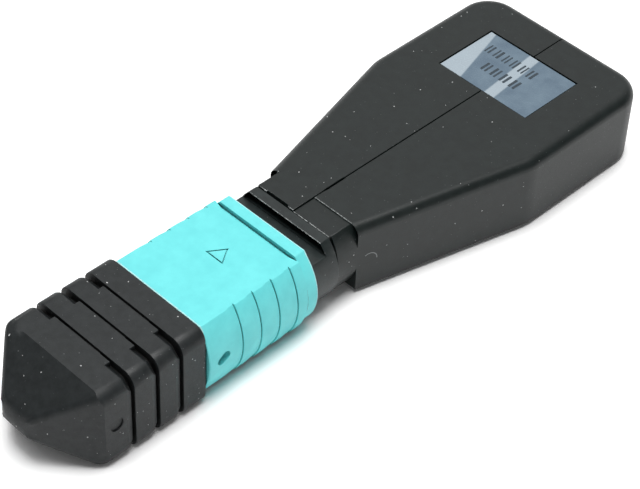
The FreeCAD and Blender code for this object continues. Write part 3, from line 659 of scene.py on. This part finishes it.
def make_sleeve():
    """Both rims get a pale line of painted highlight; the ribs and the arrow keep the mould's sharp
    lines.
    """
    low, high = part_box("coupling_sleeve")
    rear = lambda at: at.y > high.y - REAR_RIM * MM
    rims = lambda at: at.y < low.y + FRONT_RIM * MM or rear(at)
    seen_rims = lambda at: rims(at) and (rear(at) or at.z > high.z - RIM_TOP * MM)
    shoulders = lambda at: (not rims(at) and (
        at.y > high.y - REAR_BAND * MM
        or abs(abs(at.x) - SLEEVE_FLAT * MM) < SHOULDER_REACH * MM))
    # painted highlight: the pale rim colour stands in for the light the rims catch
    corner = worn_and_highlit_corner("PBT corner with painted highlight", 1.52, "#A5F3F5", "#D5FCFC", (0.34, 0.44))
    moulded_shell("coupling_sleeve", "moulded_sleeve", [sleeve_pbt(), corner],
                  [(SLEEVE_CORNER, True, seen_rims), (SLEEVE_CORNER, False, shoulders)])


def make_rear_body(corner):
    """A dark slot lies in the collar's front wall, under its pale edge of wear and painted
    highlight.
    """
    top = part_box("spring_push")[1].z
    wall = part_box("loop_housing_right")[0].y - COLLAR_LENGTH * MM
    front_wall = lambda at: abs(at.y - wall) < ON * MM and at.z > top - COLLAR_HEIGHT * MM
    in_slot = lambda at: (wall - ON * MM < at.y < wall + SLOT_BACK * MM
                          and top - SLOT_FOOT * MM < at.z < top - ON * MM)
    front_edge = lambda at: at.z > top - ON * MM and abs(at.y - wall) < BY * MM
    moulded_shell("spring_push", "moulded_rear_body", [neck_abs(), corner],
                  [(COLLAR_CORNER, True, front_edge),
                   (PUSH_CORNER, False, lambda at: not front_edge(at) and not in_slot(at))],
                  lambda piece: recess(piece, front_wall, COLLAR_LIP, COLLAR_SLOT))


def make_loop_housing(corner):
    """Two halves. A dark gap stands between the neck's flank and the paddle's wider front."""
    low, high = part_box("loop_housing_right")
    step = low.y + NECK_LENGTH * MM
    off_middle = lambda at: abs(at.x) > BY * MM
    shelf = lambda at: (at.z > high.z - SHELF_DEPTH * MM and off_middle(at)
                        and min(abs(at.y - low.y), abs(at.y - step)) < BY * MM)
    seam = lambda at: not off_middle(at) and at.z > high.z - BY * MM
    sides = lambda at: seam(at) or (at.y < step + BY * MM and not shelf(at) and off_middle(at))
    paddle_front = lambda at: abs(at.y - step) < STEP_ON * MM and at.z > GAP_FOOT * MM
    in_gap = lambda at: (step - ON * MM < at.y < step + GAP_BACK * MM
                         and abs(at.x) > GAP_EDGE * MM)

    def open_gap(piece):
        for side in (-GAP_SIDE, GAP_SIDE):
            pick_faces(piece, paddle_front)
            bpy.ops.mesh.bisect(plane_co=(side * MM, 0, 0), plane_no=(1, 0, 0))
        recess(piece, lambda at: paddle_front(at) and abs(at.x) > GAP_SIDE * MM,
               GAP_LIP, GAP_DEPTH)

    face = housing_abs()
    for hand in ("left", "right"):
        moulded_shell("loop_housing_" + hand, "moulded_half_" + hand,
                      [face, corner],
                      [(HOUSING_CORNER, True, lambda at: shelf(at) and not in_gap(at)),
                       (HOUSING_CORNER, False, lambda at: sides(at) and not in_gap(at))],
                      open_gap)


def make_black_shells():
    """Rear body and loop housing. The edges at the front of each of their steps are pale: rubbed by
    a thumb, and with painted highlight.
    """
    # pale corners: partly wear, partly painted highlight of the light caught on the edges
    corner = worn_and_highlit_corner("ABS corner, worn and with painted highlight", 1.54, "#2E3434", "#B4B8B8", (0.3, 0.42))
    make_rear_body(corner)
    make_loop_housing(corner)


def make_springs():
    """Wound springs: merged and smoothly shaded copies of the CAD springs, each in place of its
    node.
    """
    wire = spring_wire()
    for node, name, joint, travel_mm in SPRINGS:
        piece = own_copy(node, name, [wire])
        start_merged(piece)
        smooth_by_angle(piece, WIRE_SHARP)
        stands_for(piece, node)
        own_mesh(piece)


# ---------------- small pieces ----------------
def start_edit(piece, name):
    piece.name = name
    only(piece)
    bpy.ops.object.mode_set(mode="EDIT")


def end_edit(piece, material):
    bpy.ops.object.mode_set(mode="OBJECT")
    piece.data.materials.clear()
    piece.data.materials.append(material)


def joined(pieces):
    """Joins finished pieces into the first one, with its place in its mesh."""
    for piece in pieces:
        piece.select_set(True)
    bpy.context.view_layer.objects.active = pieces[0]
    bpy.ops.object.join()
    bpy.ops.object.transform_apply(location=True, rotation=True, scale=True)


def make_fibre_ends():
    """Polished ends of the 24 glass fibres, two rows of twelve, flush in the ferrule's face."""
    low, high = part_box("mt_ferrule")
    bpy.ops.object.select_all(action="DESELECT")
    bpy.ops.mesh.primitive_cylinder_add(vertices=GLASS_SIDES, radius=GLASS_R * MM,
                                        depth=GLASS_SUNK * MM, rotation=(math.pi / 2, 0, 0))
    end = bpy.context.object
    bpy.ops.object.transform_apply(rotation=True)
    start_edit(end, "fibre_ends")
    bpy.ops.mesh.select_mode(type="FACE")
    shape = bmesh.from_edit_mesh(end.data)
    for face in shape.faces:
        face.select = face.normal.y < -FACING
    bmesh.update_edit_mesh(end.data)
    bpy.ops.mesh.inset(thickness=(GLASS_R - CORE_R) * MM)
    bpy.ops.transform.translate(value=(0, -GLASS_DOME * MM, 0))
    end_edit(end, fibre_glass())
    middle = (low.z + high.z) / 2
    face_y = low.y + (GLASS_SUNK / 2 - GLASS_PROUD) * MM
    first = -(FIBRES_A_ROW - 1) / 2
    places = [((first + i) * FIBRE_PITCH * MM, face_y, middle + row * ROW_HALF * MM)
              for row in (-1, 1) for i in range(FIBRES_A_ROW)]
    only(end)
    ends = [end]
    for _ in places[1:]:
        twin = end.copy()
        twin.data = end.data.copy()
        bpy.context.scene.collection.objects.link(twin)
        ends.append(twin)
    for piece, place in zip(ends, places):
        piece.location = place
    joined(ends)
    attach(end, "ferrule")


def make_label_print():
    """Two rows of plain ink strokes, of uneven width, in place of a legend."""
    low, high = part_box("label")
    drawn = random.Random(INK_SEED)
    ink = label_ink()
    strokes = []
    for x_from, x_to, y in INK_ROWS:
        x = x_from
        while x < x_to:
            width = drawn.choice(INK_WIDTHS)
            bpy.ops.object.select_all(action="DESELECT")
            bpy.ops.mesh.primitive_plane_add(size=1)
            stroke = bpy.context.object
            start_edit(stroke, "ink_stroke")
            bpy.ops.mesh.select_all(action="SELECT")
            bpy.ops.transform.resize(value=(width * MM, INK_HEIGHT * MM, 1))
            bpy.ops.mesh.bevel(offset=INK_CORNER * MM, segments=CORNER_STEPS, affect="VERTICES")
            bpy.ops.mesh.select_all(action="SELECT")
            bpy.ops.mesh.extrude_region_move(
                TRANSFORM_OT_translate={"value": (0, 0, INK_THICK * MM)})
            bpy.ops.mesh.select_all(action="SELECT")
            bpy.ops.mesh.normals_make_consistent(inside=False)
            end_edit(stroke, ink)
            stroke.location = ((x + width / 2) * MM, low.y + y * MM, high.z - INK_SUNK * MM)
            strokes.append(stroke)
            x += width + (INK_GAP if len(strokes) % 2 else INK_SPACE)
    joined(strokes)
    strokes[0].name = "label_ink"
    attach(strokes[0], "plug_body")


# ---------------- stage and light ----------------
def floor_material():
    """Matt white. The camera sees open floor glow to plain white, and the plug's shadow on it; near
    the plug the glow fades, a painted shadow that darkens the floor there.

    The glow is for the camera only, so it puts no light on the plug and does not show in its gloss.
    """
    material, tree, out = new_material("white studio floor")
    path = add_node(tree, "ShaderNodeLightPath")
    matt = add_node(tree, "ShaderNodeBsdfDiffuse", Color=(FLOOR_WHITE,) * 3 + (1,))
    bright = add_node(tree, "ShaderNodeBsdfDiffuse", Color=(1, 1, 1, 1))
    open_sky = add_node(tree, "ShaderNodeAmbientOcclusion", samples=OPENNESS_RAYS,
                        Distance=SHADOW_REACH * MM)
    clear = add_node(tree, "ShaderNodeMapRange", From_Min=SHADOW_EDGE[0], From_Max=SHADOW_EDGE[1],
                     To_Max=FLOOR_GLOW, links=[(open_sky.outputs["AO"], "Value")])
    glow = add_node(tree, "ShaderNodeEmission", links=[(clear.outputs["Result"], "Strength")])
    lit = add_node(tree, "ShaderNodeAddShader",
                   links=[(bright.outputs[0], 0), (glow.outputs[0], 1)])
    mix = add_node(tree, "ShaderNodeMixShader",
                   links=[(path.outputs["Is Camera Ray"], 0), (matt.outputs[0], 1),
                          (lit.outputs[0], 2)])
    tree.links.new(mix.outputs[0], out.inputs["Surface"])
    return material


def build_stage():
    bpy.ops.object.select_all(action="DESELECT")
    bpy.ops.mesh.primitive_plane_add(size=FLOOR_SIZE)
    floor = bpy.context.object
    floor.name = "floor"
    floor.data.materials.append(floor_material())


def light_tent():
    """A white tent: bright low down and overhead, grey between, and lighter on one side."""
    world = bpy.data.worlds.new("studio tent")
    world.use_nodes = True
    tree = world.node_tree
    sky = tree.nodes["Background"]
    way = add_node(tree, "ShaderNodeTexCoord")
    height = add_node(tree, "ShaderNodeSeparateXYZ", links=[(way.outputs["Generated"], 0)])
    ramp = add_node(tree, "ShaderNodeValToRGB", links=[(height.outputs["Z"], "Fac")])
    stops = ramp.color_ramp.elements
    for spot, level in TENT:
        stop = stops[0] if spot == 0.0 else stops[-1] if spot == 1.0 else stops.new(spot)
        stop.position = spot
        stop.color = (level, level, level, 1)
    tree.links.new(ramp.outputs["Color"], sky.inputs["Color"])
    lean = add_node(tree, "ShaderNodeVectorMath", operation="DOT_PRODUCT",
                    sockets={1: TENT_BRIGHT_SIDE}, links=[(way.outputs["Generated"], 0)])
    turned = add_node(tree, "ShaderNodeMapRange", From_Min=-1.0, From_Max=1.0,
                      links=[(lean.outputs["Value"], "Value")])
    steep = add_node(tree, "ShaderNodeMath", operation="POWER", sockets={1: TENT_STEEP},
                     links=[(turned.outputs["Result"], 0)])
    side = add_node(tree, "ShaderNodeMapRange", To_Min=TENT_LEVELS[0], To_Max=TENT_LEVELS[1],
                    links=[(steep.outputs[0], "Value")])
    tree.links.new(side.outputs["Result"], sky.inputs["Strength"])
    bpy.context.scene.world = world


def place_softboxes():
    """Square lamps, each facing the plug."""
    for name, direction, distance, width, power in SOFTBOXES:
        data = bpy.data.lights.new(name, "AREA")
        data.size = width
        data.energy = power
        lamp = bpy.data.objects.new(name, data)
        lamp.location = Vector(direction).normalized() * distance
        lamp.rotation_euler = (-lamp.location).to_track_quat("-Z", "Y").to_euler()
        bpy.context.scene.collection.objects.link(lamp)


bpy.context.scene.view_settings.view_transform = "Standard"
place_camera()
light_tent()
place_softboxes()
build_stage()
make_cap()
make_sleeve()
make_black_shells()
make_springs()
make_fibre_ends()
make_label_print()
finish_inner_parts()
